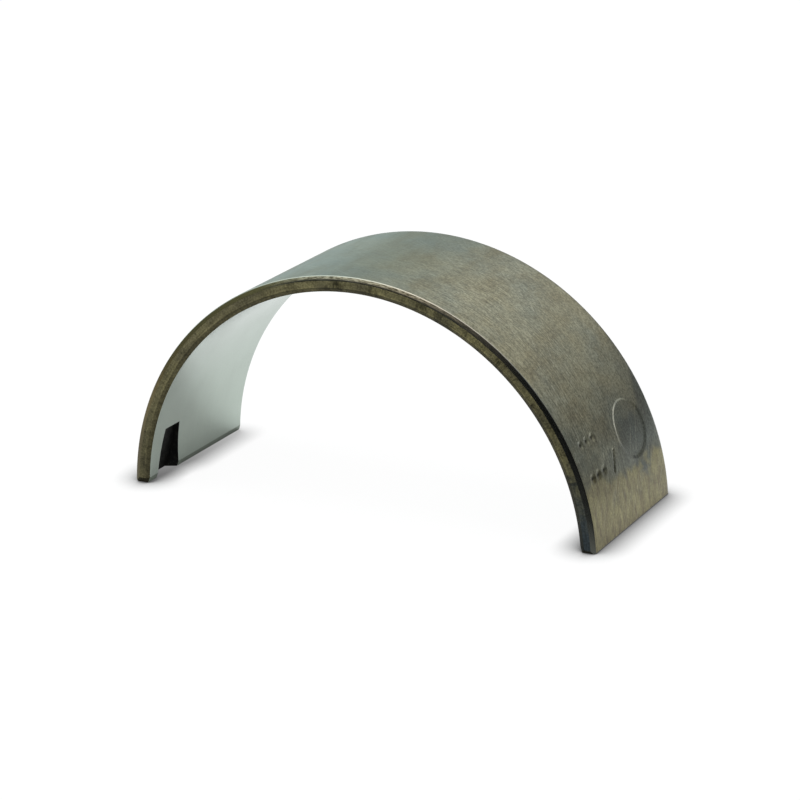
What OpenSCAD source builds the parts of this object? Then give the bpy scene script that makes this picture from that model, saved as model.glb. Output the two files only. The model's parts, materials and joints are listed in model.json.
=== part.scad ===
// Half-round engine bearing shell, in its free state, standing on its two parting faces.
// The origin lies on the parting plane, at mid-span and mid-width.
// Y runs along the bearing axis and Z points up to the crown.

/* [Shell] */
// Diameter of the housing bore that the shell is sprung into
housing_d = 56; // [44:0.5:90]
// How much wider than the housing the free shell stands across its parting faces
free_spread = 1.8; // [0:0.1:3]
// Wall thickness of back and lining together
wall_t = 1.8; // [1.4:0.05:3]
// Width of the shell along the bearing axis
shell_w = 20.7; // [16:0.1:40]

/* [Lining] */
// Thickness of the bearing alloy bonded to the inside of the back
lining_t = 0.35; // [0.2:0.05:0.6]

/* [Edges] */
// Chamfer along both outer rims
outer_chamfer = 0.45; // [0.2:0.05:0.8]
// Chamfer along both inner rims
inner_chamfer = 0.45; // [0.1:0.05:0.6]
// Height of the broken edges where bore and rims meet the parting faces
break_h = 0.5; // [0.1:0.05:0.8]
// Depth of those broken edges along the parting faces
break_d = 0.2; // [0.05:0.05:0.4]

/* [Locating lug] */
// From the front rim to the middle of the lug
lug_inset = 4.2; // [3.2:0.1:6]
// Height of the lug and its recess above the parting faces
lug_h = 5.9; // [4:0.1:8]
// How far the lug stands out of the back
lug_out = 0.95; // [0.5:0.05:1.5]
// Thickness of the metal in the lug at the parting face
lug_wall = 1.25; // [0.8:0.05:1.6]
// Straight foot of the lug, below the slope that runs into the back
lug_land = 1.6; // [0.5:0.1:3]
// Width of the lug at the parting face
lug_foot_w = 3.6; // [2.4:0.1:5]
// Width of the lug where it runs into the back
lug_top_w = 2.6; // [1.6:0.1:4]

/* [Recess behind the lug] */
// Width of the recess in the bore at the parting face
recess_foot_w = 4.6; // [3:0.1:5.6]
// Width of the recess in the bore at its upper edge
recess_top_w = 3; // [2:0.1:4.6]
// Depth of the sheared step at the upper edge
recess_step = 0.7; // [0.4:0.05:1]
// Width of the recess floor at the parting face
recess_floor_w = 3.2; // [2:0.1:4.4]

/* [Hidden] */
$fn = 240;

// A cut runs past the surface that it opens by this much
past = 1;
degrees_per_radian = 180 / PI;

// The back keeps the length of half the housing bore while its ends spring apart
back_arc = PI * housing_d / 2;
span = housing_d + free_spread;

// Half the angle of an arc, in radians, from the ratio of its chord to its length
function half_angle(ratio, low, high, steps) =
    let(middle = (low + high) / 2)
    steps == 0 ? middle
    : sin(middle * degrees_per_radian) / middle > ratio ? half_angle(ratio, middle, high, steps - 1)
    : half_angle(ratio, low, middle, steps - 1);

arc_half = half_angle(span / back_arc, 0.1, PI / 2, 50);
outer_r = back_arc / (2 * arc_half);
bond_r = outer_r - wall_t + lining_t;
bore_r = outer_r - wall_t;
centre_z = -outer_r * cos(arc_half * degrees_per_radian);

// Distance from the mid-plane to a round surface of radius r at height z
function reach(r, z) = sqrt(r * r - (z - centre_z) * (z - centre_z));

lug_y = lug_inset - shell_w / 2;
foot_x = reach(outer_r, 0);
lug_x = foot_x + lug_out;
lug_slope = (lug_x - reach(outer_r, lug_h)) / (lug_h - lug_land);
lug_root = (wall_t - lining_t) / 2;
recess_foot_x = lug_x - lug_wall;
recess_top_x = reach(bore_r, lug_h) + recess_step;
recess_slope = (recess_foot_x - recess_top_x) / lug_h;

// Radial section of the whole wall, with its four chamfered rims
module wall_section() {
    half_w = shell_w / 2;
    polygon([
        [bore_r, inner_chamfer - half_w],
        [bore_r + inner_chamfer, -half_w],
        [outer_r - outer_chamfer, -half_w],
        [outer_r, outer_chamfer - half_w],
        [outer_r, half_w - outer_chamfer],
        [outer_r - outer_chamfer, half_w],
        [bore_r + inner_chamfer, half_w],
        [bore_r, half_w - inner_chamfer]
    ]);
}

// The part of the wall between two radii, turned about the bearing axis
module ring(inner_r, outer_r) {
    translate([0, 0, centre_z]) rotate([90, 0, 0]) rotate_extrude() intersection() {
        wall_section();
        translate([inner_r, -shell_w]) square([outer_r - inner_r, 2 * shell_w]);
    }
}

// A profile drawn in X and Z, run along the bearing axis over the given length about y
module along_axis(y, length) {
    translate([0, y + length / 2, 0]) rotate([90, 0, 0]) linear_extrude(length) children();
}

// An outline drawn in Y and Z, run through the leg that carries the lug
module through_leg() {
    depth = wall_t + lug_out + 2 * past;
    inner_x = reach(bore_r, lug_h) - past;
    translate([-inner_x - depth, 0, 0]) rotate([90, 0, 90]) linear_extrude(depth + lug_h) children();
}

// Tapered outline of the lug or its recess, as it is seen along X
module taper(foot_w, top_w) {
    spread = (foot_w - top_w) / 2 * past / lug_h;
    polygon([
        [lug_y - foot_w / 2 - spread, -past],
        [lug_y + foot_w / 2 + spread, -past],
        [lug_y + top_w / 2 - spread, lug_h + past],
        [lug_y - top_w / 2 + spread, lug_h + past]
    ]);
}

// Solid tab pressed out of the back, with a sloped upper side
module lug() {
    slope_end = lug_h + lug_root;
    intersection() {
        along_axis(lug_y, lug_foot_w + 2 * past) polygon([
            [-lug_x, -past],
            [-lug_x, lug_land],
            [-lug_x + lug_slope * (slope_end - lug_land), slope_end],
            [-foot_x + lug_root, -past]
        ]);
        through_leg() taper(lug_foot_w, lug_top_w);
    }
}

// Space that the press leaves behind the lug, narrower at its floor than at its mouth
module recess() {
    mouth_x = reach(bore_r, 0);
    inner_x = recess_top_x - lug_h;
    draft = (recess_foot_w - recess_floor_w) / 2 / (recess_foot_x - mouth_x);
    inner_half_w = recess_foot_w / 2 + draft * (mouth_x - inner_x);
    intersection() {
        along_axis(lug_y, recess_foot_w + 2 * past) polygon([
            [-recess_foot_x - recess_slope * past, -past],
            [-recess_top_x, lug_h],
            [-inner_x, lug_h],
            [-inner_x, -past]
        ]);
        through_leg() taper(recess_foot_w, recess_top_w);
        translate([0, lug_y, -past]) linear_extrude(lug_h + 2 * past) polygon([
            [-recess_foot_x - past, draft * past - recess_floor_w / 2],
            [-recess_foot_x - past, recess_floor_w / 2 - draft * past],
            [-inner_x, inner_half_w],
            [-inner_x, -inner_half_w]
        ]);
    }
}

// Everything below the parting plane, with the broken edges of the bore and the rims
module below_joint() {
    reach_out = outer_r + lug_out + past;
    edge_x = reach(bore_r, break_h);
    half_w = shell_w / 2;
    lean = break_h / break_d;
    for (side = [-1, 1]) translate([-reach_out, 0, 0]) rotate([90, 0, 90]) linear_extrude(2 * reach_out) polygon([
        [side * (half_w - break_d - past / lean), -past],
        [side * (half_w + past), -past],
        [side * (half_w + past), break_h + past * lean]
    ]);
    along_axis(0, shell_w + 2 * past) polygon([
        [-reach_out, -2 * outer_r],
        [reach_out, -2 * outer_r],
        [reach_out, 0],
        [reach(bore_r, 0) + break_d, 0],
        [edge_x, break_h],
        [-edge_x, break_h],
        [-reach(bore_r, 0) - break_d, 0],
        [-reach_out, 0]
    ]);
}

module steel_back() {
    color("#77755f") difference() {
        union() {
            ring(bond_r, outer_r);
            lug();
        }
        recess();
        below_joint();
    }
}

module bearing_lining() {
    color("#bcc4bb") difference() {
        ring(bore_r, bond_r);
        recess();
        below_joint();
    }
}

steel_back();
bearing_lining();
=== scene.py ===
import json
import math

import bmesh
import bpy
from mathutils import Matrix, Vector


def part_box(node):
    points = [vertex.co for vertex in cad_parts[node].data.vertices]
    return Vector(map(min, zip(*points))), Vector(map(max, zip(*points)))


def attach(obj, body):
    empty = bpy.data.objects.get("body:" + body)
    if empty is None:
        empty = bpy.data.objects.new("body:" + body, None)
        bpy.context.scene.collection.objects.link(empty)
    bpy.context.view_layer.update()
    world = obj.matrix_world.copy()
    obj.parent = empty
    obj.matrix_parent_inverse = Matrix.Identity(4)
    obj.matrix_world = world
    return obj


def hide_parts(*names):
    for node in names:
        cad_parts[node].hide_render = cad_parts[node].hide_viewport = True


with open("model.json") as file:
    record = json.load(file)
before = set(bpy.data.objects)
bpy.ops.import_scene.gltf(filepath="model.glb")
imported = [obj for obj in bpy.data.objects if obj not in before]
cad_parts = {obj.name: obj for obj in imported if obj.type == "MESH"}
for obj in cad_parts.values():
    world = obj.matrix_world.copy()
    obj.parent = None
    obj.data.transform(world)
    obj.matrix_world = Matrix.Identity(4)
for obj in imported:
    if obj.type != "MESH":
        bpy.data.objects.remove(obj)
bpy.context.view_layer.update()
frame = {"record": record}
mm = 0.001  # the frame is in metres, the settings below in millimetres and degrees

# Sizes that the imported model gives
mounts = {m["name"]: m for m in frame["record"]["mounts"]}
centreZ = mounts["journal_bore"]["pos_m"][2] / mm  # the arc's axis, just under the parting plane
boreRadius = mounts["journal_bore"]["dims"]["r_mm"]
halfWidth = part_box("steel_back")[1][1] / mm
wallDepth, liningDepth = 1.8, 0.35  # its facets hide these, so they are given as in the CAD
bondDepth = wallDepth - liningDepth
backRadius = boreRadius + wallDepth
footAngle = math.degrees(math.asin(-centreZ / backRadius))  # where the back meets the parting plane
lugX = -mounts["locating_lug"]["pos_m"][0] / mm
lugY = mounts["locating_lug"]["pos_m"][1] / mm


def hexLinear(text):
    channels = [int(text[i:i + 2], 16) / 255 for i in (1, 3, 5)]
    return tuple(c / 12.92 if c <= 0.04045 else ((c + 0.055) / 1.055) ** 2.4 for c in channels) + (1.0,)


def addNode(tree, kind, inputs=None, **settings):
    # adds a node, sets its options, fills its inputs with values or links, and gives its first live output
    node = tree.nodes.new(kind)
    for name, value in settings.items():
        setattr(node, name, value)
    for key, value in (inputs or {}).items():
        named = [s for s in node.inputs if s.name == key and s.enabled]
        socket = named[0] if named else node.inputs[key]
        links = value if isinstance(value, list) else [value]
        if isinstance(links[0], bpy.types.NodeSocket):
            for link in links:
                tree.links.new(link, socket)
        else:
            socket.default_value = value
    return next((s for s in node.outputs if s.enabled), None)


def newTree(owner):
    # the emptied node tree of a material or the world
    owner.use_nodes = True
    owner.node_tree.nodes.clear()
    return owner.node_tree


def addObject(name, data):
    thing = bpy.data.objects.new(name, data)
    bpy.context.scene.collection.objects.link(thing)
    return thing


print("frame read: back radius %.3f mm, feet at %.3f degrees" % (backRadius, footAngle))

shell = dict(  # each chamfer across the wall and along the axis, flatter than 45 degrees as seen on the rim
    outerChamfer=(0.54, 0.22), innerChamfer=(0.5, 0.25), frontRound=0.12, rearRound=0.8, faceRound=0.06, roundSteps=5,
    sectionStep=0.5, markStep=0.13, bondStep=2.0, coarseAngle=0.5, markAngle=0.15, overrun=0.5, sharpAngle=28.0,
    # breaks at the parting faces: up and inwards on the bore and the rims, across and up on the back
    farBreak=(0.65, 0.22), nearBreak=(0.3, 0.12), footBreak=(0.12, 0.12), lugFootBreak=(0.25, 0.4), lugClear=0.1,
    edgeWander=0.05, wanderSize=0.9, wanderFade=1.5,
    # which faces take which metal, by the lean of the normal along the axis
    edgeLean=0.35, chamferLean=(0.55, 0.42), chamferReach=1.6, rimReach=0.9, skin=0.01)

# Materials. Each reads the attribute shellMap, in mm: x along the arc from +X, y along the axis, z the radius.
# The edges broken at the parting faces are found by jointHeight, in mm above those faces.
# A finish gives colours, patterns by their sizes, and shares: what is read and the range that it is read over.


def stretch(arc, axis, radius=10.0, turn=0.0, skew=0.0):
    # a pattern's sizes in mm, as a Mapping node takes them, turned before and skewed after
    return math.radians(turn), {"Scale": (1 / arc, 1 / axis, 1 / radius), "Rotation": (0, 0, math.radians(skew))}


def span(low, high, least=0.0, most=1.0):
    # two values and what they become, as a Map Range node takes them
    return {"From Min": low, "From Max": high, "To Min": least, "To Max": most}


def startMetal(name):
    material = bpy.data.materials.new(name)
    tree = newTree(material)
    return material, tree, addNode(tree, "ShaderNodeAttribute", attribute_name="shellMap").node.outputs["Vector"]


def readFinish(tree, place, finish, **read):
    # adds a finish's patterns, then the shares that it takes from them and from what is read already
    for name, ((turn, lay), noise) in finish["patterns"].items():
        turned = place
        if turn:
            turned = addNode(tree, "ShaderNodeVectorRotate", {"Vector": place, "Angle": turn}, rotation_type="Z_AXIS")
        laid = addNode(tree, "ShaderNodeMapping", {"Vector": turned, **lay})
        read[name] = addNode(tree, "ShaderNodeTexNoise", {"Vector": laid, "Scale": 1.0, **noise})
    for name, (source, ends) in finish["shares"].items():
        read[name] = addNode(tree, "ShaderNodeMapRange", {"Value": read[source], **ends})
    return read, {name: hexLinear(text) for name, text in finish["colours"].items()}


def dressMetal(tree, finish, colour, coats, tones, roughness, height):
    # lays coats over a colour by their shares, tones it lighter and darker, and gives it gloss and bump
    for blend, layers in (("MIX", coats), ("MULTIPLY", tones)):
        for share, layer in layers:
            colour = addNode(tree, "ShaderNodeMix", {"Factor": share, "A": colour, "B": layer},
                             data_type="RGBA", blend_type=blend)
    bump = addNode(tree, "ShaderNodeBump", {"Height": height, "Distance": finish["bumpDepth"] * mm})
    grazing = finish.get("grazing", 1.0)  # below 1 it weakens the mirror at a flat angle of view
    shader = addNode(tree, "ShaderNodeBsdfPrincipled", {
        "Base Color": colour, "Metallic": finish.get("metallic", 1.0), "Roughness": roughness, "Normal": bump,
        "Specular Tint": (grazing, grazing, grazing, 1.0)})
    addNode(tree, "ShaderNodeOutputMaterial", {"Surface": shader})


pressMarks = dict(  # plain disc, punch dots and scribed stroke, mm along the arc and along the axis
    discAt=(11.2, 4.0), discRadius=3.5, discWall=0.4, discDepth=0.1, lineHalf=0.23, lineDepth=0.11,
    dotRows=((12.9, -7.6), (9.1, -7.6)), dotCount=3, dotPitch=1.45, dotRadius=0.68, dotDepth=0.16,
    stroke=((8.2, -2.5), (10.3, -1.4)), strokePoints=12,
    angles=(13.0, 31.0), band=(-8.6, 7.8))  # the mesh is finer between these angles and across this band

stripBack = dict(
    colours=dict(olive="#95937c", slate="#868c80", brown="#7e765b", khaki="#7f7a58", dun="#605842", stain="#39454a",
                 smoke="#454738", soot="#2b2b25", scratch="#c4c2ae", rubbed="#b4c4c6"),
    patterns=dict(
        lines=(stretch(1.9, 0.2), {"Detail": 2.0}),  # rolling lines, coarser than the real 0.03 mm to show
        grain=(stretch(0.22, 0.22, 0.22), {"Detail": 3.0, "Roughness": 0.6}),
        cloud=(stretch(7.5, 7.5, 7.5), {"Detail": 5.0, "Roughness": 0.55}),
        brown=(stretch(3.4, 8.5, skew=12.0), {"Detail": 6.0, "Roughness": 0.66}),
        smear=(stretch(2.4, 1.7), {"Detail": 4.0}),
        smudge=(stretch(2.0, 2.0, 2.0), {"Detail": 3.0}),
        mottle=(stretch(2.6, 1.1), {"Detail": 6.0, "Roughness": 0.7}),
        scratch=(stretch(7.0, 0.16, turn=-38.0), {"Detail": 1.0})),
    shares=dict(
        slated=("cloud", span(0.6, 0.35, most=0.8)), browned=("brown", span(0.46, 0.7, most=0.6)),
        mottled=("mottle", span(0.4, 0.66)), scratched=("scratch", span(0.6, 0.74, most=0.22)),
        frontRise=("axis", span(-3.0, -7.0, most=1.2)), stainRise=("axis", span(-3.0, 3.0, most=2.6)),
        rimRise=("axis", span(6.5, 9.8, most=5.5)), bluer=("axis", span(-6.0, 2.0)),
        discLow=("arc", span(pressMarks["discAt"][0] + 2.4, pressMarks["discAt"][0] - 1.4, 0.3)),
        smudged=("smudge", span(0.47, 0.66, most=0.7)), smudgeFront=("axis", span(-6.0, -2.5)),
        smudgeLow=("arc", span(3.8, 6.2)), smudgeHigh=("arc", span(9.5, 8.5)),
        # painted reflection: the rear rim is lightened to a cool grey
        rearReflection=("axis", span(9.8, 10.2, most=0.4)),
        # darker where pressed deeper
        darkened=("radius", span(backRadius - 0.09, backRadius - 0.15, most=0.8)),
        crownCalm=("arc", span(34.0, 47.0, 1.0, 0.3)), rearCalm=("axis", span(-4.0, 6.0, 1.0, 0.5)),
        lineTone=("lines", span(0.3, 0.7, 0.68, 1.32)), grainTone=("grain", span(0.3, 0.7, 0.62, 1.38)),
        roughness=("brown", span(0.0, 1.0, 0.32, 0.46))),
    footSway=5.0, footEdge=span(8.6, 7.0), footCalm=span(0.0, 1.0, 1.0, 0.65),
    smearSway=3.6, stainLow=span(6.7, 7.9, most=0.6), stainTop=span(11.2, 8.6), hazeTop=span(15.5, 11.0, most=0.45),
    discStain=span(pressMarks["discRadius"], pressMarks["discRadius"] - 0.3, most=0.46),
    highlightWay=(0.6, -0.8, 0.0), highlightEdge=span(2.4, 3.2, most=0.75), bumpDepth=0.004)


def makeStripBack():
    # cold-rolled strip steel with a dull tin flash: satin olive-grey metal, fine lines along the arc, brown stains
    material, tree, place = startMetal("tinFlashedStripSteel")
    at = addNode(tree, "ShaderNodeSeparateXYZ", {"Vector": place}).node.outputs
    read, hue = readFinish(tree, place, stripBack, arc=at["X"], axis=at["Y"], radius=at["Z"])
    # the flash has gone khaki towards the foot
    sway, ragged = stripBack["footSway"], stripBack["smearSway"]
    swing = addNode(tree, "ShaderNodeMath", {0: read["cloud"], 1: sway, 2: -sway / 2}, operation="MULTIPLY_ADD")
    swayed = addNode(tree, "ShaderNodeMath", {0: at["X"], 1: swing}, operation="ADD")
    swayed = addNode(tree, "ShaderNodeMath", {0: swayed, 1: read["frontRise"]}, operation="SUBTRACT")
    foot = addNode(tree, "ShaderNodeMapRange", {"Value": swayed, **stripBack["footEdge"]},
                   interpolation_type="SMOOTHSTEP")
    khaki = addNode(tree, "ShaderNodeMix", {
        "Factor": read["mottled"], "A": hue["khaki"], "B": hue["dun"]}, data_type="RGBA")
    # a dark smear with a ragged edge lies above it, higher towards the rear, and fades into a haze
    smear = addNode(tree, "ShaderNodeMath", {0: read["smear"], 1: ragged, 2: swayed}, operation="MULTIPLY_ADD")
    smear = addNode(tree, "ShaderNodeMath", {0: smear, 1: ragged / 2}, operation="SUBTRACT")
    stained = addNode(tree, "ShaderNodeMapRange", {"Value": smear, **stripBack["stainLow"]},
                      interpolation_type="SMOOTHSTEP")
    for rise in ("stainRise", "rimRise"):
        smear = addNode(tree, "ShaderNodeMath", {0: smear, 1: read[rise]}, operation="SUBTRACT")
    fades, haze = [addNode(tree, "ShaderNodeMapRange", {"Value": smear, **stripBack[edge]},
                           interpolation_type="SMOOTHSTEP") for edge in ("stainTop", "hazeTop")]
    fades = addNode(tree, "ShaderNodeMath", {0: fades, 1: haze}, operation="MAXIMUM")
    stained = addNode(tree, "ShaderNodeMath", {0: stained, 1: fades}, operation="MULTIPLY")
    # it lies in the disc too, and a few smudges lie lower, in the khaki
    discPlace = addNode(tree, "ShaderNodeVectorMath", {
        0: addNode(tree, "ShaderNodeCombineXYZ", {"X": at["X"], "Y": at["Y"]}),
        1: (*pressMarks["discAt"], 0)}, operation="SUBTRACT")
    fromDisc = addNode(tree, "ShaderNodeVectorMath", {0: discPlace}, operation="LENGTH").node.outputs["Value"]
    inDisc = addNode(tree, "ShaderNodeMapRange", {"Value": fromDisc, **stripBack["discStain"]})
    inDisc = addNode(tree, "ShaderNodeMath", {0: inDisc, 1: read["discLow"]}, operation="MULTIPLY")
    smudged = read["smudged"]
    for edge in ("smudgeLow", "smudgeHigh", "smudgeFront"):
        smudged = addNode(tree, "ShaderNodeMath", {0: smudged, 1: read[edge]}, operation="MULTIPLY")
    for more in (inDisc, smudged):
        stained = addNode(tree, "ShaderNodeMath", {0: stained, 1: more}, operation="MAXIMUM")
    stain = addNode(tree, "ShaderNodeMix", {
        "Factor": read["bluer"], "A": hue["smoke"], "B": hue["stain"]}, data_type="RGBA")
    # painted highlight: the disc's wall is lighter at its upper front
    halfWall = pressMarks["discWall"] / 2
    onWall = addNode(tree, "ShaderNodeMath", {
        0: fromDisc, 1: pressMarks["discRadius"] - halfWall, 2: halfWall}, operation="COMPARE")
    frontward = addNode(tree, "ShaderNodeVectorMath", {
        0: discPlace, 1: stripBack["highlightWay"]}, operation="DOT_PRODUCT").node.outputs["Value"]
    worn = addNode(tree, "ShaderNodeMapRange", {"Value": frontward, **stripBack["highlightEdge"]})
    worn = addNode(tree, "ShaderNodeMath", {0: onWall, 1: worn}, operation="MULTIPLY")
    # lines and grain are fainter past the crown and in the khaki, the lines also towards the rear
    calm = addNode(tree, "ShaderNodeMapRange", {"Value": foot, **stripBack["footCalm"]})
    marked = addNode(tree, "ShaderNodeMath", {0: read["crownCalm"], 1: calm}, operation="MULTIPLY")
    lined = addNode(tree, "ShaderNodeMath", {0: marked, 1: read["rearCalm"]}, operation="MULTIPLY")
    coats = (  # a painted reflection lightens the rear edge to a cool grey, a painted highlight lies on the disc's wall, and what is pressed deeper is darker
        (read["slated"], hue["slate"]), (read["browned"], hue["brown"]), (foot, khaki), (stained, stain),
        (read["rearReflection"], hue["rubbed"]), (worn, hue["scratch"]), (read["darkened"], hue["soot"]),
        (read["scratched"], hue["scratch"]))
    tones = ((lined, read["lineTone"]), (marked, read["grainTone"]))
    dressMetal(tree, stripBack, hue["olive"], coats, tones, read["roughness"], read["lines"])
    return material


innerEdge = boreRadius + shell["innerChamfer"][0]  # the radius where the inner chamfer ends on the flat edge

shearedEdge = dict(
    colours=dict(olive="#66614a", light="#88815c", dark="#2a281d", slate="#3d4447"),
    patterns=dict(  # the edge is flat, so sizes along the axis hardly count
        blotch=(stretch(1.3, 10 / 3, 2.6), {"Detail": 6.0, "Roughness": 0.68, "Distortion": 0.8}),
        streak=(stretch(3.5, 10 / 3, 0.28), {"Detail": 3.0}),
        cloud=(stretch(3.2, 3.2, 3.2), {"Detail": 3.0}),
        grain=(stretch(0.22, 0.22, 0.22), {"Detail": 3.0})),
    shares=dict(
        lighter=("cloud", span(0.4, 0.62)), darker=("blotch", span(0.51, 0.33)),
        strong=("arc", span(46.0, 58.0, 0.9, 0.45)),
        onStrip=("radius", span(innerEdge + 0.04, innerEdge - 0.04)), stripShade=("arc", span(40.0, 60.0, 0.72, 0.66)),
        breakTop=("arc", span(40.0, 60.0, shell["nearBreak"][0], shell["farBreak"][0])),
        grainTone=("grain", span(0.3, 0.7, 0.58, 1.42)), streakTone=("streak", span(0.3, 0.7, 0.76, 1.24)),
        roughness=("grain", span(0.0, 1.0, 0.42, 0.6))),
    sway=4.0, slateEdge=span(13.0, 4.0), farFoot=span(66.0, 90.0, most=0.5), breakEdge=span(-0.1, 0.1), bumpDepth=0.014)


def makeShearedEdge():
    # sheared and machined strip edge with an oily olive oxide: dull, blotched across the wall
    material, tree, place = startMetal("oxidisedStripEdge")
    at = addNode(tree, "ShaderNodeSeparateXYZ", {"Vector": place}).node.outputs
    read, hue = readFinish(tree, place, shearedEdge, arc=at["X"], radius=at["Z"])
    # blotches are stronger on the near leg and over the crown
    lighter, darker = [addNode(tree, "ShaderNodeMath", {0: read[way], 1: read["strong"]}, operation="MULTIPLY")
                       for way in ("lighter", "darker")]
    # the near foot is slate, and a painted shade darkens the edge towards the far one
    sway = shearedEdge["sway"]
    swing = addNode(tree, "ShaderNodeMath", {0: read["blotch"], 1: sway, 2: -sway / 2}, operation="MULTIPLY_ADD")
    swayed = addNode(tree, "ShaderNodeMath", {0: at["X"], 1: swing}, operation="ADD")
    slated, farFoot = [addNode(tree, "ShaderNodeMapRange", {"Value": swayed, **shearedEdge[edge]})
                       for edge in ("slateEdge", "farFoot")]
    # painted shade darkens the inner chamfer and the edges broken at the parting faces
    darkened = addNode(tree, "ShaderNodeMath", {0: read["onStrip"], 1: read["stripShade"]}, operation="MULTIPLY")
    height = addNode(tree, "ShaderNodeAttribute", attribute_name="jointHeight").node.outputs["Fac"]
    under = addNode(tree, "ShaderNodeMath", {0: read["breakTop"], 1: height}, operation="SUBTRACT")
    broken = addNode(tree, "ShaderNodeMapRange", {"Value": under, **shearedEdge["breakEdge"]})
    for more in (farFoot, broken):
        darkened = addNode(tree, "ShaderNodeMath", {0: darkened, 1: more}, operation="MAXIMUM")
    coats = ((lighter, hue["light"]), (darker, hue["dark"]), (slated, hue["slate"]), (darkened, hue["dark"]))
    tones = ((1.0, read["grainTone"]), (1.0, read["streakTone"]))
    dressMetal(tree, shearedEdge, hue["olive"], coats, tones, read["roughness"], read["grain"])
    return material


rimChamfer = dict(
    colours=dict(bright="#e8d5b6", dull="#746850", worn="#ece4d2", oxide="#83764f", slate="#74766f", dirt="#2b2922"),
    patterns=dict(turned=(stretch(0.7, 0.1, 0.1), {"Detail": 3.0})),
    shares=dict(
        bare=("turned", span(0.4, 0.6)), slated=("arc", span(38.0, 22.0)), nearFoot=("arc", span(6.5, 3.0, most=0.5)),
        shadeStart=("arc", span(26.0, 32.0)), shadeEnd=("arc", span(58.0, 52.0)),
        roughness=("turned", span(0.0, 1.0, 0.34, 0.16))),
    sway=4.0, oxideEdge=span(52.0, 59.0), farFoot=span(72.0, 86.0, most=0.75),
    highlightEdge=span(0.1, 0.02), shadeSway=0.2, shadeEdge=span(0.4, 0.52, most=0.9), bumpDepth=0.008)


def makeRimChamfer():
    # chamfer turned after forming: bare steel with tool lines along the arc, oxidised olive on the far leg
    material, tree, place = startMetal("turnedSteelChamfer")
    at = addNode(tree, "ShaderNodeSeparateXYZ", {"Vector": place}).node.outputs
    read, hue = readFinish(tree, place, rimChamfer, arc=at["X"])
    swayed = addNode(tree, "ShaderNodeMath", {
        0: read["turned"], 1: rimChamfer["sway"], 2: at["X"]}, operation="MULTIPLY_ADD")
    rusted, farFoot = [addNode(tree, "ShaderNodeMapRange", {"Value": swayed, **rimChamfer[edge]})
                       for edge in ("oxideEdge", "farFoot")]
    # its upper edge is burnished bright and carries a painted highlight line, and painted shade darkens its lower edge
    # over the crown and at the far foot
    depth = addNode(tree, "ShaderNodeMath", {0: backRadius, 1: at["Z"]}, operation="SUBTRACT")
    rubbed = addNode(tree, "ShaderNodeMapRange", {"Value": depth, **rimChamfer["highlightEdge"]})
    shadeDepth = addNode(tree, "ShaderNodeMath", {
        0: read["turned"], 1: rimChamfer["shadeSway"], 2: depth}, operation="MULTIPLY_ADD")
    darkened = addNode(tree, "ShaderNodeMapRange", {"Value": shadeDepth, **rimChamfer["shadeEdge"]})
    for end in ("shadeStart", "shadeEnd"):
        darkened = addNode(tree, "ShaderNodeMath", {0: darkened, 1: read[end]}, operation="MULTIPLY")
    darkened = addNode(tree, "ShaderNodeMath", {0: darkened, 1: farFoot}, operation="MAXIMUM")
    coats = (  # towards the near foot it is slate, with painted shade as dark as the edge beside it
        (read["bare"], hue["bright"]), (rusted, hue["oxide"]), (rubbed, hue["worn"]), (darkened, hue["dirt"]),
        (read["slated"], hue["slate"]), (read["nearFoot"], hue["dirt"]))
    dressMetal(tree, rimChamfer, hue["dull"], coats, (), read["roughness"], read["turned"])
    return material


pressedRecess = dict(
    colours=dict(soot="#0d0d0b", bare="#2a2a25"), patterns=dict(patch=(stretch(0.8, 0.8, 0.8), {"Detail": 4.0})),
    shares=dict(bare=("patch", span(0.5, 0.75)), roughness=("patch", span(0.0, 1.0, 0.75, 0.5))),
    metallic=0.6, bumpDepth=0.02)


def makePressedRecess():
    # torn steel in the press recess, black with oil and scale, and painted near black for the shade deep in the recess
    material, tree, place = startMetal("blackenedShadedRecessSteel")
    read, hue = readFinish(tree, place, pressedRecess)
    dressMetal(tree, pressedRecess, hue["soot"], ((read["bare"], hue["bare"]),), (), read["roughness"], read["patch"])
    return material


boredAlloy = dict(
    colours=dict(pale="#afb9b0", grey="#a5aea5", joint="#7b8579"),
    patterns=dict(
        lines=(stretch(25.0, 0.2), {"Detail": 1.0}),  # boring marks, coarser than real to show
        cloud=(stretch(5.0, 5.0, 5.0), {"Detail": 3.0})),
    shares=dict(
        broken=("height", span(shell["farBreak"][0] + 0.05, shell["farBreak"][0] - 0.05)),
        lineTone=("lines", span(0.0, 1.0, 0.96, 1.04)), roughness=("cloud", span(0.0, 1.0, 0.17, 0.26))),
    grazing=0.85, bumpDepth=0.0012)


def makeBoredAlloy():
    # aluminium-tin bearing alloy, fine-bored: pale satin metal with faint lines along the arc
    material, tree, place = startMetal("boredBearingAlloy")
    height = addNode(tree, "ShaderNodeAttribute", attribute_name="jointHeight").node.outputs["Fac"]
    read, hue = readFinish(tree, place, boredAlloy, height=height)
    coats = ((read["cloud"], hue["grey"]), (read["broken"], hue["joint"]))  # duller and darker where the edge is broken, a painted shade
    dressMetal(tree, boredAlloy, hue["pale"], coats, ((1.0, read["lineTone"]),), read["roughness"], read["lines"])
    return material


backMetal, edgeMetal, chamferMetal = makeStripBack(), makeShearedEdge(), makeRimChamfer()
recessMetal, liningMetal = makePressedRecess(), makeBoredAlloy()
print("materials made:", len(bpy.data.materials))

# The shell is a wall section swept along the arc.


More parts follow.
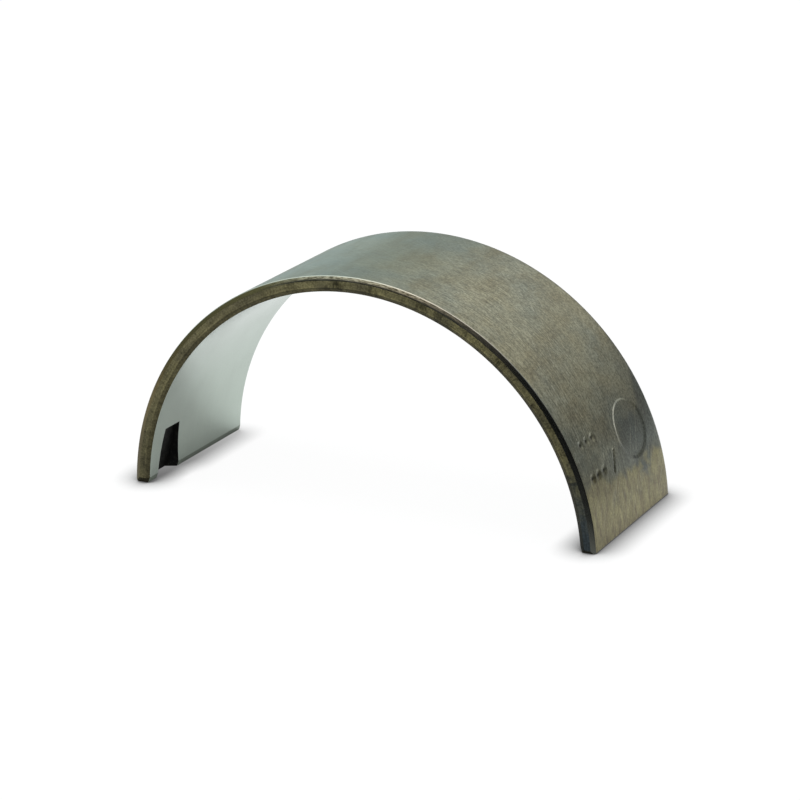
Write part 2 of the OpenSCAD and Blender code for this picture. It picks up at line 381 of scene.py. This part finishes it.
def roundedOutline(corners):
    # closed outline from corners of (x, y, radius, step): arcs at the corners, even steps on the straights
    points, count, steps = [], len(corners), shell["roundSteps"]
    for i, (x, y, radius, step) in enumerate(corners):
        here = Vector((x, y))
        before = (Vector(corners[i - 1][:2]) - here).normalized()
        after = (Vector(corners[(i + 1) % count][:2]) - here).normalized()
        arc = [here]
        if radius:
            half = before.angle(after) / 2
            middle = here + (before + after).normalized() * (radius / math.sin(half))
            start, end = (here + way * (radius / math.tan(half)) - middle for way in (before, after))
            arc = [middle + radius * start.slerp(end, k / steps) for k in range(steps + 1)]
        points.append((arc, step))
    outline = []
    for i, (arc, step) in enumerate(points):
        outline += arc
        nextStart = points[(i + 1) % count][0][0]
        pieces = max(1, round((nextStart - arc[-1]).length / step))
        outline += [arc[-1].lerp(nextStart, k / pieces) for k in range(1, pieces)]
    return outline


def sectionObject(name, outline):
    mesh = bpy.data.meshes.new(name)
    links = [(i, (i + 1) % len(outline)) for i in range(len(outline))]
    mesh.from_pydata([(x * mm, y * mm, 0) for x, y in outline], links, [])
    return addObject(name, mesh)


# half the width of the bond, which the inner chamfer opens
bondHalf = halfWidth - shell["innerChamfer"][1] * (1 - liningDepth / shell["innerChamfer"][0])


def backSection():
    # x along the axis, y the depth below the back
    (down, along), coarse, fine = shell["outerChamfer"], shell["sectionStep"], shell["markStep"]
    faceEnd = wallDepth - shell["innerChamfer"][0]
    low, high = pressMarks["band"]
    return roundedOutline([
        (along - halfWidth, 0, shell["frontRound"], coarse),
        (low, 0, 0, fine),
        (high, 0, 0, coarse),
        (halfWidth - along, 0, shell["rearRound"], fine),
        (halfWidth, down, shell["faceRound"], fine),
        (halfWidth, faceEnd, 0, fine),
        (bondHalf, bondDepth, 0, shell["bondStep"]),
        (-bondHalf, bondDepth, 0, fine),
        (-halfWidth, faceEnd, 0, fine),
        (-halfWidth, down, shell["faceRound"], fine)])


def liningSection():
    along, coarse = shell["innerChamfer"][1], shell["sectionStep"]
    return roundedOutline([
        (-bondHalf, bondDepth, 0, shell["bondStep"]),
        (bondHalf, bondDepth, 0, coarse),
        (halfWidth - along, wallDepth, shell["faceRound"], coarse),
        (along - halfWidth, wallDepth, shell["faceRound"], coarse)])


sweepSizes = {  # named inputs of the sweep, in mm
    "Back Radius": backRadius, "Arc Centre": centreZ, "Edge Wander": shell["edgeWander"],
    "Disc Radius": pressMarks["discRadius"], "Disc Depth": pressMarks["discDepth"],
    "Line Half Width": pressMarks["lineHalf"], "Line Depth": pressMarks["lineDepth"],
    "Dot Radius": pressMarks["dotRadius"], "Dot Depth": pressMarks["dotDepth"]}
sweepMetals = ("Round Metal", "Edge Metal", "Chamfer Metal")


def makeSweepTree():
    tree = bpy.data.node_groups.new("sweptShell", "GeometryNodeTree")
    tree.interface.new_socket("Section", in_out="INPUT", socket_type="NodeSocketGeometry")
    for name in (*sweepSizes, "Start Angle"):
        tree.interface.new_socket(name, in_out="INPUT", socket_type="NodeSocketFloat")
    for name in sweepMetals:
        tree.interface.new_socket(name, in_out="INPUT", socket_type="NodeSocketMaterial")
    tree.interface.new_socket("Shell", in_out="OUTPUT", socket_type="NodeSocketGeometry")
    given = tree.nodes.new("NodeGroupInput").outputs

    # arc path, with closer rings across the press marks
    index = addNode(tree, "GeometryNodeInputIndex")
    start = footAngle - shell["overrun"]
    angle, reached, at = given["Start Angle"], 0, start
    low, high = pressMarks["angles"]
    for end, step in ((low, shell["coarseAngle"]), (high, shell["markAngle"]), (180 - start, shell["coarseAngle"])):
        rings = round((end - at) / step)
        turn = addNode(tree, "ShaderNodeMapRange", {
            "Value": index, **span(reached, reached + rings, most=math.radians(end - at))})
        angle = addNode(tree, "ShaderNodeMath", {0: angle, 1: turn}, operation="ADD")
        reached, at = reached + rings, end
    line = addNode(tree, "GeometryNodeCurvePrimitiveLine")
    path = addNode(tree, "GeometryNodeResampleCurve", {"Curve": line, "Count": reached + 1})

    def onBack(turned, axial):
        # a point of the back from its angle and its place along the axis
        across, up = (addNode(tree, "ShaderNodeMath", {0: turned}, operation=way) for way in ("COSINE", "SINE"))
        x = addNode(tree, "ShaderNodeMath", {0: across, 1: given["Back Radius"]}, operation="MULTIPLY")
        z = addNode(tree, "ShaderNodeMath", {
            0: up, 1: given["Back Radius"], 2: given["Arc Centre"]}, operation="MULTIPLY_ADD")
        return addNode(tree, "ShaderNodeCombineXYZ", {"X": x, "Y": axial, "Z": z})

    path = addNode(tree, "GeometryNodeSetPosition", {"Geometry": path, "Position": onBack(angle, 0.0)})
    section = addNode(tree, "GeometryNodeMeshToCurve", {"Mesh": given["Section"]})
    body = addNode(tree, "GeometryNodeCurveToMesh", {"Curve": path, "Profile Curve": section, "Fill Caps": True})

    # radius and depth below the back at each point
    place = addNode(tree, "GeometryNodeInputPosition")
    split = addNode(tree, "ShaderNodeSeparateXYZ", {"Vector": place}).node.outputs
    rise = addNode(tree, "ShaderNodeMath", {0: split["Z"], 1: given["Arc Centre"]}, operation="SUBTRACT")
    spoke = addNode(tree, "ShaderNodeCombineXYZ", {"X": split["X"], "Z": rise})
    radius = addNode(tree, "ShaderNodeVectorMath", {0: spoke}, operation="LENGTH")
    outward = addNode(tree, "ShaderNodeVectorMath", {0: spoke}, operation="NORMALIZE")
    depth = addNode(tree, "ShaderNodeMath", {0: given["Back Radius"], 1: radius}, operation="SUBTRACT")

    # the chamfer's lower edge wanders a little, as on a hand-fed lathe
    chamfer = shell["outerChamfer"][0] * mm
    grows = addNode(tree, "ShaderNodeMapRange", {"Value": depth, **span(0.0, chamfer)})
    fades = addNode(tree, "ShaderNodeMapRange", {
        "Value": depth, **span(chamfer, chamfer * shell["wanderFade"], 1.0, 0.0)})
    drift = addNode(tree, "ShaderNodeTexNoise", {
        "Vector": place, "Scale": 1 / (shell["wanderSize"] * mm), "Detail": 2.0})
    drift = addNode(tree, "ShaderNodeMapRange", {"Value": drift, **span(0.0, 1.0, -1.0, 1.0)})
    for share in (grows, fades, given["Edge Wander"]):
        drift = addNode(tree, "ShaderNodeMath", {0: drift, 1: share}, operation="MULTIPLY")

    # the stroke is an edge, disc centre and punch dots are points: laid flat, then wrapped round the back
    begin, end = (Vector((*point, 0)) * mm for point in pressMarks["stroke"])
    stroke = addNode(tree, "GeometryNodeMeshLine", {
        "Count": pressMarks["strokePoints"], "Start Location": begin, "Offset": end}, mode="END_POINTS")
    rows = [addNode(tree, "GeometryNodeMeshLine", {
        "Count": pressMarks["dotCount"], "Start Location": Vector((*row, 0)) * mm,
        "Offset": Vector((0, pressMarks["dotPitch"], 0)) * mm}) for row in pressMarks["dotRows"]]
    dots = addNode(tree, "GeometryNodeJoinGeometry", {"Geometry": rows})
    middle = addNode(tree, "GeometryNodeMeshLine", {
        "Count": 1, "Start Location": Vector((*pressMarks["discAt"], 0)) * mm})
    wrapped = addNode(tree, "ShaderNodeMath", {0: split["X"], 1: given["Back Radius"]}, operation="DIVIDE")
    wrapped = onBack(wrapped, split["Y"])
    discFloor, discRim = [addNode(tree, "ShaderNodeMath", {0: given["Disc Radius"], 1: offset}, operation="ADD")
                          for offset in (-pressMarks["discWall"] * mm, 0.0)]
    pressed = None
    for guide, element, inner, outer, deep in (
            (stroke, "EDGES", 0.0, given["Line Half Width"], given["Line Depth"]),
            (dots, "POINTS", 0.0, given["Dot Radius"], given["Dot Depth"]),
            (middle, "POINTS", discFloor, discRim, given["Disc Depth"])):
        guide = addNode(tree, "GeometryNodeSetPosition", {"Geometry": guide, "Position": wrapped})
        near = addNode(tree, "GeometryNodeProximity", {"Geometry": guide}, target_element=element)
        dent = addNode(tree, "ShaderNodeMapRange", {
            "Value": near.node.outputs["Distance"], **span(inner, outer, deep, 0.0)}, interpolation_type="SMOOTHSTEP")
        pressed = addNode(tree, "ShaderNodeMath", {0: pressed, 1: dent}, operation="MAXIMUM") if pressed else dent
    onSkin = addNode(tree, "ShaderNodeMath", {0: depth, 1: shell["skin"] * mm}, operation="LESS_THAN")
    inward = addNode(tree, "ShaderNodeMath", {0: pressed, 1: onSkin, 2: drift}, operation="MULTIPLY_ADD")
    inward = addNode(tree, "ShaderNodeMath", {0: inward, 1: -1.0}, operation="MULTIPLY")
    moved = addNode(tree, "ShaderNodeVectorMath", {0: outward, "Scale": inward}, operation="SCALE")
    body = addNode(tree, "GeometryNodeSetPosition", {"Geometry": body, "Offset": moved})

    # one metal for the round faces, one for the flat edges and inner chamfers, one for the outer chamfers
    normal = addNode(tree, "GeometryNodeInputNormal")
    lean = addNode(tree, "ShaderNodeSeparateXYZ", {"Vector": normal}).node.outputs["Y"]
    lean = addNode(tree, "ShaderNodeMath", {0: lean}, operation="ABSOLUTE")
    leanMiddle, leanReach = shell["chamferLean"]
    steep = addNode(tree, "ShaderNodeMath", {0: lean, 1: shell["edgeLean"]}, operation="GREATER_THAN")
    sloped = addNode(tree, "ShaderNodeMath", {0: lean, 1: leanMiddle, 2: leanReach}, operation="COMPARE")
    shallow = addNode(tree, "ShaderNodeMath", {0: depth, 1: shell["chamferReach"] * chamfer}, operation="LESS_THAN")
    offCentre = addNode(tree, "ShaderNodeMath", {0: split["Y"]}, operation="ABSOLUTE")
    atRim = addNode(tree, "ShaderNodeMath", {
        0: offCentre, 1: (halfWidth - shell["rimReach"]) * mm}, operation="GREATER_THAN")
    steep = addNode(tree, "ShaderNodeMath", {0: steep, 1: atRim}, operation="MULTIPLY")
    for share in (shallow, atRim):
        sloped = addNode(tree, "ShaderNodeMath", {0: sloped, 1: share}, operation="MULTIPLY")
    body = addNode(tree, "GeometryNodeRealizeInstances", {"Geometry": body})
    body = addNode(tree, "GeometryNodeSetMaterial", {"Geometry": body, "Material": given["Round Metal"]})
    for where, metal in ((steep, "Edge Metal"), (sloped, "Chamfer Metal")):
        body = addNode(tree, "GeometryNodeSetMaterial", {
            "Geometry": body, "Selection": where, "Material": given[metal]})
    addNode(tree, "NodeGroupOutput", {"Shell": body})
    return tree


def settle(piece):
    # turns the evaluated object into a plain mesh and drops its modifiers
    solid = bpy.data.meshes.new_from_object(piece.evaluated_get(bpy.context.evaluated_depsgraph_get()))
    old = piece.data
    piece.modifiers.clear()
    piece.data = solid
    bpy.data.meshes.remove(old)


def sweep(piece, tree, metals):
    modifier = piece.modifiers.new("sweep", "NODES")
    modifier.node_group = tree
    values = {name: size * mm for name, size in sweepSizes.items()}
    values["Start Angle"] = math.radians(footAngle - shell["overrun"])
    values.update(zip(sweepMetals, metals))
    for socket in tree.interface.items_tree:
        if socket.name in values:
            modifier[socket.identifier] = values[socket.name]
    settle(piece)


# The lug is pressed out of the back of one leg, and its recess opens into the bore.

lug = dict(height=5.9, out=0.95, wall=1.25, land=1.6, footWidth=3.6, topWidth=2.6)  # the land is its upright part
recess = dict(footWidth=4.6, topWidth=3.0, step=0.7, floorWidth=3.2)  # the step is its sheared upper end
past = 1.0  # a cut runs past the surface that it opens by this much


def reach(radius, z):
    # from the mid-plane to a round face at height z
    return math.sqrt(radius ** 2 - (z - centreZ) ** 2)


def prism(name, outline, axis, low, high, metal):
    # solid from a flat outline, run along one axis: Y from (x, z), X from (y, z), Z from (x, y)
    spread = {"X": lambda a, b, c: (c, a, b), "Y": lambda a, b, c: (a, c, b), "Z": lambda a, b, c: (a, b, c)}[axis]
    mesh, count = bmesh.new(), len(outline)
    rings = [[mesh.verts.new(Vector(spread(a, b, end)) * mm) for a, b in outline] for end in (low, high)]
    for ring in rings:
        mesh.faces.new(ring)
    for i in range(count):
        j = (i + 1) % count
        mesh.faces.new((rings[0][i], rings[0][j], rings[1][j], rings[1][i]))
    bmesh.ops.recalc_face_normals(mesh, faces=mesh.faces)
    data = bpy.data.meshes.new(name)
    mesh.to_mesh(data)
    mesh.free()
    data.materials.append(metal)
    return addObject(name, data)


def combine(piece, other, operation, keep=False):
    modifier = piece.modifiers.new(operation, "BOOLEAN")
    modifier.object, modifier.operation, modifier.solver = other, operation, "MANIFOLD"
    modifier.material_mode = "TRANSFER"
    settle(piece)
    if not keep:
        bpy.data.objects.remove(other)


def taperOutline(footWidth, topWidth):
    spread = (footWidth - topWidth) / 2 * past / lug["height"]
    foot, top, high = footWidth / 2 + spread, topWidth / 2 - spread, lug["height"] + past
    return [(lugY - foot, -past), (lugY + foot, -past), (lugY + top, high), (lugY - top, high)]


def makeLug():
    footX, root = reach(backRadius, 0), bondDepth / 2
    slope = (lugX - reach(backRadius, lug["height"])) / (lug["height"] - lug["land"])
    slopeEnd = lug["height"] + root
    side = prism("lug", [
        (-lugX, -past), (-lugX, lug["land"]), (slope * (slopeEnd - lug["land"]) - lugX, slopeEnd),
        (root - footX, -past)], "Y", lugY - lug["footWidth"], lugY + lug["footWidth"], backMetal)
    taper = prism("lugTaper", taperOutline(lug["footWidth"], lug["topWidth"]), "X", -lugX - past, 0, backMetal)
    combine(side, taper, "INTERSECT")
    return side


def makeRecess():
    footWidth, high = recess["footWidth"], lug["height"]
    floorX, topX = lugX - lug["wall"], reach(boreRadius, high) + recess["step"]
    mouthX, innerX = reach(boreRadius, 0), topX - high
    slope = (floorX - topX) / high
    draft = (footWidth - recess["floorWidth"]) / 2 / (floorX - mouthX)
    innerHalf = footWidth / 2 + draft * (mouthX - innerX)
    floorHalf = recess["floorWidth"] / 2 - draft * past
    side = prism("recess", [
        (-floorX - slope * past, -past), (-topX, high), (-innerX, high), (-innerX, -past)],
        "Y", lugY - footWidth, lugY + footWidth, recessMetal)
    taper = prism("recessTaper", taperOutline(footWidth, recess["topWidth"]), "X", -lugX - past, 0, recessMetal)
    plan = prism("recessPlan", [
        (-floorX - past, lugY - floorHalf), (-floorX - past, lugY + floorHalf),
        (-innerX, lugY + innerHalf), (-innerX, lugY - innerHalf)], "Z", -2 * past, high + past, recessMetal)
    combine(side, taper, "INTERSECT")
    combine(side, plan, "INTERSECT")
    return side


def makeBelowJoint(metal):
    # all below the parting plane, with the broken edges of the bore and the rims
    high, deep = shell["farBreak"]
    across, edgeX, innerX = backRadius + lug["out"] + past, reach(boreRadius, high), reach(boreRadius, 0)
    below = prism("belowJoint", [
        (-across, -3 * past), (across, -3 * past), (across, 0), (innerX + deep, 0), (edgeX, high),
        (-edgeX, high), (-innerX - deep, 0), (-across, 0)],
        "Y", -halfWidth - past, halfWidth + past, metal)
    for start, stop, rimBreak in ((-across, past, "farBreak"), (-past, across, "nearBreak")):  # one for each leg
        rimHigh, rimDeep = shell[rimBreak]
        lean = rimHigh / rimDeep
        for side in (-1, 1):
            rim = prism("rimBreak", [
                (side * (halfWidth - rimDeep - past / lean), -past), (side * (halfWidth + past / 2), -past),
                (side * (halfWidth + past / 2), rimHigh + past / 2 * lean)], "X", start, stop, edgeMetal)
            combine(below, rim, "UNION")
    return below


def breakFoot(below):
    # adds the broken edges of the back, clear of the lug
    footX, end, clear = reach(backRadius, 0), halfWidth + past, lug["footWidth"] / 2 + shell["lugClear"]
    for side, footBreak, start, stop in (
            (1, "footBreak", -end, end),
            (-1, "lugFootBreak", -end, lugY - clear), (-1, "lugFootBreak", lugY + clear, end)):
        wide, tall = shell[footBreak]
        edge = prism("footBreak", [
            (side * (footX - wide), -past), (side * (footX - wide), 0),
            (side * (footX + past), tall + past * tall / wide), (side * (footX + past), -past)],
            "Y", start, stop, backMetal)
        combine(below, edge, "UNION")
    return below


def finishMesh(piece):
    # smooth rounds with crisp breaks, and the map of arc, axis and radius that the materials read
    mesh = piece.data
    mesh.polygons.foreach_set("use_smooth", [True] * len(mesh.polygons))
    mesh.set_sharp_from_angle(angle=math.radians(shell["sharpAngle"]))
    shellMap, places = mesh.attributes.new("shellMap", "FLOAT_VECTOR", "POINT"), []
    for vertex in mesh.vertices:
        x, y, z = vertex.co / mm
        turned = math.atan2(z - centreZ, x)
        places += [turned * backRadius, y, math.hypot(x, z - centreZ)]
    shellMap.data.foreach_set("vector", places)
    jointHeight = mesh.attributes.new("jointHeight", "FLOAT", "POINT")
    jointHeight.data.foreach_set("value", [vertex.co.z / mm for vertex in mesh.vertices])
    mesh.update()


sweepTree = makeSweepTree()
steelBack = sectionObject("steelBack", backSection())
sweep(steelBack, sweepTree, (backMetal, edgeMetal, chamferMetal))
bearingLining = sectionObject("bearingLining", liningSection())
sweep(bearingLining, sweepTree, (liningMetal, edgeMetal, edgeMetal))
print("shell swept: %d and %d faces" % (len(steelBack.data.polygons), len(bearingLining.data.polygons)))

recessCut = makeRecess()
combine(steelBack, makeLug(), "UNION")
combine(steelBack, recessCut, "DIFFERENCE", keep=True)
combine(steelBack, breakFoot(makeBelowJoint(edgeMetal)), "DIFFERENCE")
combine(bearingLining, recessCut, "DIFFERENCE")
combine(bearingLining, makeBelowJoint(liningMetal), "DIFFERENCE")
for piece in (steelBack, bearingLining):
    finishMesh(piece)
print("lug, recess and feet cut: %d and %d faces" % (len(steelBack.data.polygons), len(bearingLining.data.polygons)))

# Floor, light and camera

studio = dict(
    floorHalf=3000.0, floorDrop=0.02, floorAlbedo=0.8, cameraShare=0.05, glossShare=0.56, glossLift=0.42,
    contactReach=4.2, contactTilt=(-0.64, 0.0, 0.77), contactSamples=24, contact=span(0.5, 0.97, 0.08, 0.96),
    frontRight=(0.78, -0.62, 0.0), contactFade=span(-30.0 * mm, -14.0 * mm, 0.45),
    darkFloor=span(25.0 * mm, 40.0 * mm, 1.0, 0.06), farFloor=span(90.0 * mm, 210.0 * mm, 1.0, 0.3),
    lampHeight=500.0, lampSize=250.0, lampWatts=1.6, level=span(0.0, 0.34, 0.27, 1.08), leftward=span(-0.1, -0.55),
    lowGlow=span(0.0, 0.2, 1.9, 0.0), behind=span(0.0, 0.5), darkWay=(0.75, -0.6, 0.25),
    darkEdge=span(0.3, 0.7, 1.0, 0.03), darkTop=span(0.43, 0.67), white="#ffffff", coolLeft="#e2f9ff")


def makeFloor():
    edge, drop = studio["floorHalf"] * mm, -studio["floorDrop"] * mm  # clear of the parting faces
    mesh = bpy.data.meshes.new("floor")
    mesh.from_pydata([(x * edge, y * edge, drop) for x, y in ((-1, -1), (1, -1), (1, 1), (-1, 1))], [], [(0, 1, 2, 3)])
    floor = addObject("floor", mesh)
    material = bpy.data.materials.new("whitePaper")
    tree = newTree(material)
    path = addNode(tree, "ShaderNodeLightPath").node.outputs
    gloss = addNode(tree, "ShaderNodeMath", {
        0: path["Is Glossy Ray"], 1: path["Is Transmission Ray"]}, operation="MAXIMUM")
    # seen straight it is white with a contact shadow that leans to +X and is lighter at the back left
    near = addNode(tree, "ShaderNodeAmbientOcclusion", {
        "Distance": studio["contactReach"] * mm, "Normal": Vector(studio["contactTilt"]).normalized()},
        samples=studio["contactSamples"]).node.outputs["AO"]
    contact = addNode(tree, "ShaderNodeMapRange", {"Value": near, **studio["contact"]})
    at = addNode(tree, "ShaderNodeNewGeometry").node.outputs["Position"]
    frontRight = addNode(tree, "ShaderNodeVectorMath", {0: at, 1: studio["frontRight"]}, operation="DOT_PRODUCT")
    strength = addNode(tree, "ShaderNodeMapRange", {"Value": frontRight, **studio["contactFade"]})
    contact = addNode(tree, "ShaderNodeMix", {
        "Factor": strength, "A": studio["contact"]["To Max"], "B": contact}, data_type="FLOAT")
    seen = addNode(tree, "ShaderNodeMath", {0: path["Is Camera Ray"], 1: contact}, operation="MULTIPLY")
    # metal mirrors the shade under the arch too, and paper that darkens to the front right and far off
    away = addNode(tree, "ShaderNodeVectorMath", {0: at}, operation="LENGTH")
    fade, dim = [addNode(tree, "ShaderNodeMapRange", {"Value": value, **studio[part]})
                 for value, part in ((frontRight, "darkFloor"), (away, "farFloor"))]
    fade = addNode(tree, "ShaderNodeMath", {0: fade, 1: dim}, operation="MULTIPLY")
    mirrored = addNode(tree, "ShaderNodeMath", {0: gloss, 1: fade}, operation="MULTIPLY")
    mirroredLift = addNode(tree, "ShaderNodeMath", {0: near, 1: studio["glossLift"]}, operation="MULTIPLY")
    lift = addNode(tree, "ShaderNodeMath", {0: mirrored, 1: mirroredLift, 2: seen}, operation="MULTIPLY_ADD")
    share = addNode(tree, "ShaderNodeMix", {
        "Factor": path["Is Camera Ray"], "A": studio["floorAlbedo"], "B": studio["cameraShare"]}, data_type="FLOAT")
    mirroredShare = addNode(tree, "ShaderNodeMath", {0: fade, 1: studio["glossShare"]}, operation="MULTIPLY")
    share = addNode(tree, "ShaderNodeMix", {"Factor": gloss, "A": share, "B": mirroredShare}, data_type="FLOAT")
    paper = addNode(tree, "ShaderNodeBsdfDiffuse", {"Color": share})
    glow = addNode(tree, "ShaderNodeEmission", {"Strength": lift})
    both = addNode(tree, "ShaderNodeAddShader", {0: paper, 1: glow})
    addNode(tree, "ShaderNodeOutputMaterial", {"Surface": both})
    mesh.materials.append(material)


def makeLight():
    world = bpy.data.worlds.new("studio")
    bpy.context.scene.world = world
    tree = newTree(world)
    # a white room, dim at the horizon, cooler and brighter low at the back left, dark to the front right
    way = addNode(tree, "ShaderNodeTexCoord").node.outputs["Generated"]
    split = addNode(tree, "ShaderNodeSeparateXYZ", {"Vector": way}).node.outputs
    squared = addNode(tree, "ShaderNodeMath", {0: split["Z"], 1: split["Z"]}, operation="MULTIPLY")
    level, leftward, lowGlow, behind, above = [
        addNode(tree, "ShaderNodeMapRange", {"Value": value, **studio[edge]}) for value, edge in (
            (squared, "level"), (split["X"], "leftward"), (split["Z"], "lowGlow"), (split["Y"], "behind"),
            (split["Z"], "darkTop"))]
    glow = addNode(tree, "ShaderNodeMath", {0: leftward, 1: lowGlow}, operation="MULTIPLY")
    level = addNode(tree, "ShaderNodeMath", {0: glow, 1: behind, 2: level}, operation="MULTIPLY_ADD")
    facing = addNode(tree, "ShaderNodeVectorMath", {
        0: way, 1: Vector(studio["darkWay"]).normalized()}, operation="DOT_PRODUCT")
    flag = addNode(tree, "ShaderNodeMapRange", {"Value": facing, **studio["darkEdge"]},
                   interpolation_type="SMOOTHSTEP")
    flag = addNode(tree, "ShaderNodeMath", {0: flag, 1: above}, operation="MAXIMUM")
    level = addNode(tree, "ShaderNodeMath", {0: level, 1: flag}, operation="MULTIPLY")
    white, cool = hexLinear(studio["white"]), hexLinear(studio["coolLeft"])
    tint = addNode(tree, "ShaderNodeMix", {"Factor": leftward, "A": white, "B": cool}, data_type="RGBA")
    room = addNode(tree, "ShaderNodeBackground", {"Color": tint, "Strength": level})
    backdrop = addNode(tree, "ShaderNodeBackground", {"Color": white, "Strength": 1.0})
    straight = addNode(tree, "ShaderNodeLightPath").node.outputs["Is Camera Ray"]
    shown = addNode(tree, "ShaderNodeMixShader", {0: straight, 1: room, 2: backdrop})
    addNode(tree, "ShaderNodeOutputWorld", {"Surface": shown})
    lamp = bpy.data.lights.new("overheadSoftbox", "AREA")
    lamp.energy, lamp.size = studio["lampWatts"], studio["lampSize"] * mm
    holder = addObject("overheadSoftbox", lamp)
    holder.location = (0.0, 0.0, studio["lampHeight"] * mm)
    holder.visible_glossy = False  # it shades the paper, while the metal mirrors the room


view = dict(azimuth=28.3213, elevation=18.3994, roll=-1.8321, lens=122.672, sensor=36.0,
            place=(138.395, -255.929, 107.162), clip=(10.0, 20000.0))


def makeCamera():
    azimuth, elevation, roll = (math.radians(view[k]) for k in ("azimuth", "elevation", "roll"))
    flat = math.cos(elevation)
    back = Vector((math.sin(azimuth) * flat, -math.cos(azimuth) * flat, math.sin(elevation)))
    right = Vector((math.cos(azimuth), math.sin(azimuth), 0))
    turn = Matrix((right, back.cross(right), back)).transposed() @ Matrix.Rotation(roll, 3, "Z")
    lens = bpy.data.cameras.new("camera")
    lens.lens, lens.sensor_width = view["lens"], view["sensor"]
    lens.clip_start, lens.clip_end = (end * mm for end in view["clip"])
    camera = addObject("camera", lens)
    camera.matrix_world = Matrix.Translation(Vector(view["place"]) * mm) @ turn.to_4x4()
    bpy.context.scene.camera = camera


makeFloor()
makeLight()
makeCamera()
bpy.context.scene.view_settings.view_transform = "Standard"
print("floor, light and camera set")

for piece, node in ((steelBack, "steel_back"), (bearingLining, "bearing_lining")):
    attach(piece, "root")
    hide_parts(node)
